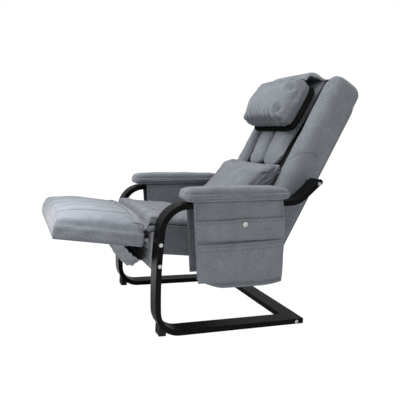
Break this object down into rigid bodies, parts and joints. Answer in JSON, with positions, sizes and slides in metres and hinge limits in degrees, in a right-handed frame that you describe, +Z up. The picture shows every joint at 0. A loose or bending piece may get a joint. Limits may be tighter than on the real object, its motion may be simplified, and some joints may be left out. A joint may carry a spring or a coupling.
{
  "type": "reflexology chair",
  "caption": "Padded lounge chair on two bent black wood frames, with a folding leg rest, loose pillow and lumbar cushion, and a massage carriage in the back.",
  "frame": {"origin": "on the floor, under the middle of the rear floor bar", "axes": "+X to the sitter's left, +Y towards the back, +Z up; the chair faces -Y"},
  "size_m": [0.7554, 1.2964, 1.076],
  "materials": {
    "black_wood": "satin black lacquer on bent laminated wood",
    "fabric": "woven, mid blue-grey",
    "dark_fabric": "woven, darker blue-grey",
    "black_net": "open black net and webbing",
    "steel": "zinc plated",
    "snap_metal": "polished",
    "plywood": "bare plywood",
    "black_plastic": "fine grain",
    "grey_plastic": "fine grain",
    "bronze": "sintered bronze",
    "roller_rubber": "matte"
  },
  "bodies": {
    "root": {"side_frame_left": "black_wood", "side_frame_right": "black_wood", "rear_floor_bar": "black_wood", "front_cross_board": "dark_fabric", "front_foot_blocks": "black_wood", "frame_bolts": "steel", "arm_end_bolts": "steel", "frame_nuts": "steel", "arm_spacers": "black_plastic", "arm_pad_left": "fabric", "arm_pad_right": "fabric", "arm_cover_left": "fabric", "arm_cover_right": "fabric", "upper_pocket_left": "fabric", "upper_pocket_right": "fabric", "lower_pocket_left": "fabric", "lower_pocket_right": "fabric", "pocket_snaps": "snap_metal", "seat_rail_left": "dark_fabric", "seat_rail_right": "dark_fabric", "seat_rear_rail": "plywood", "seat_front_roll": "fabric", "seat_webbing": "black_net", "seat_dust_cover": "black_net", "seat_cushion": "fabric", "seat_back_plates": "steel", "seat_back_screws": "steel", "hinge_fixed_leaves": "steel", "hinge_pins": "steel", "knee_gusset": "fabric", "back_rail_left": "plywood", "back_rail_right": "plywood", "back_cross_rails": "plywood", "back_rear_panel": "dark_fabric", "back_bolster_left": "fabric", "back_bolster_right": "fabric", "back_top_roll": "fabric", "back_lower_pad": "fabric", "back_net": "black_net", "back_pad": "fabric", "guide_rods": "steel", "lift_motor": "black_plastic", "power_supply": "black_plastic"},
    "leg_rest": {"leg_rest_board": "dark_fabric", "leg_rest_cushion": "fabric", "hinge_moving_leaves": "steel"},
    "head_pillow": {"head_pillow": "fabric", "pillow_flap": "fabric"},
    "lumbar_cushion": {"lumbar_cushion": "fabric"},
    "massage_carriage": {"carriage": "grey_plastic", "carriage_bushes": "bronze", "kneading_motor": "black_plastic"},
    "lead_screw": {"lead_screw": "steel"},
    "kneading": {"kneading_shaft": "steel", "kneading_arms": "grey_plastic"},
    "roller_upper_left": {"roller_upper_left": "roller_rubber"},
    "roller_upper_right": {"roller_upper_right": "roller_rubber"},
    "roller_lower_left": {"roller_lower_left": "roller_rubber"},
    "roller_lower_right": {"roller_lower_right": "roller_rubber"}
  },
  "joints": [
    {"name": "leg_rest_hinge", "type": "hinge", "parent": "root", "child": "leg_rest", "pos_m": [0, -0.63428, 0.35], "axis": [1, 0, 0], "range_deg": [0, 70], "deforming": ["knee_gusset"]},
    {"name": "pillow_lift", "type": "slide", "parent": "root", "child": "head_pillow", "axis": [0, 0.4446, 0.8957], "range_m": [0, 0.25]},
    {"name": "lumbar_lift", "type": "slide", "parent": "root", "child": "lumbar_cushion", "axis": [0, -0.8957, 0.4446], "range_m": [0, 0.2]},
    {"name": "carriage_travel", "type": "slide", "parent": "root", "child": "massage_carriage", "axis": [0, 0.4446, 0.8957], "range_m": [-0.1, 0.1]},
    {"name": "screw_turn", "type": "hinge", "parent": "root", "child": "lead_screw", "pos_m": [0, 0.13307, 0.76567], "axis": [0, 0.4446, 0.8957], "range_deg": [-1810, 1810]},
    {"name": "kneading_swing", "type": "hinge", "parent": "massage_carriage", "child": "kneading", "pos_m": [0, 0.10799, 0.77812], "axis": [1, 0, 0], "range_deg": [-6, 6]},
    {"name": "roller_upper_left_spin", "type": "hinge", "parent": "kneading", "child": "roller_upper_left", "pos_m": [0, 0.12348, 0.83183], "axis": [1, 0, 0], "continuous": true},
    {"name": "roller_upper_right_spin", "type": "hinge", "parent": "kneading", "child": "roller_upper_right", "pos_m": [0, 0.12348, 0.83183], "axis": [1, 0, 0], "continuous": true},
    {"name": "roller_lower_left_spin", "type": "hinge", "parent": "kneading", "child": "roller_lower_left", "pos_m": [0, 0.07458, 0.7333], "axis": [1, 0, 0], "continuous": true},
    {"name": "roller_lower_right_spin", "type": "hinge", "parent": "kneading", "child": "roller_lower_right", "pos_m": [0, 0.07458, 0.7333], "axis": [1, 0, 0], "continuous": true}
  ],
  "couplings": [
    {"joint": "screw_turn", "follows": "carriage_travel", "rad_per_m": 314.16}
  ]
}
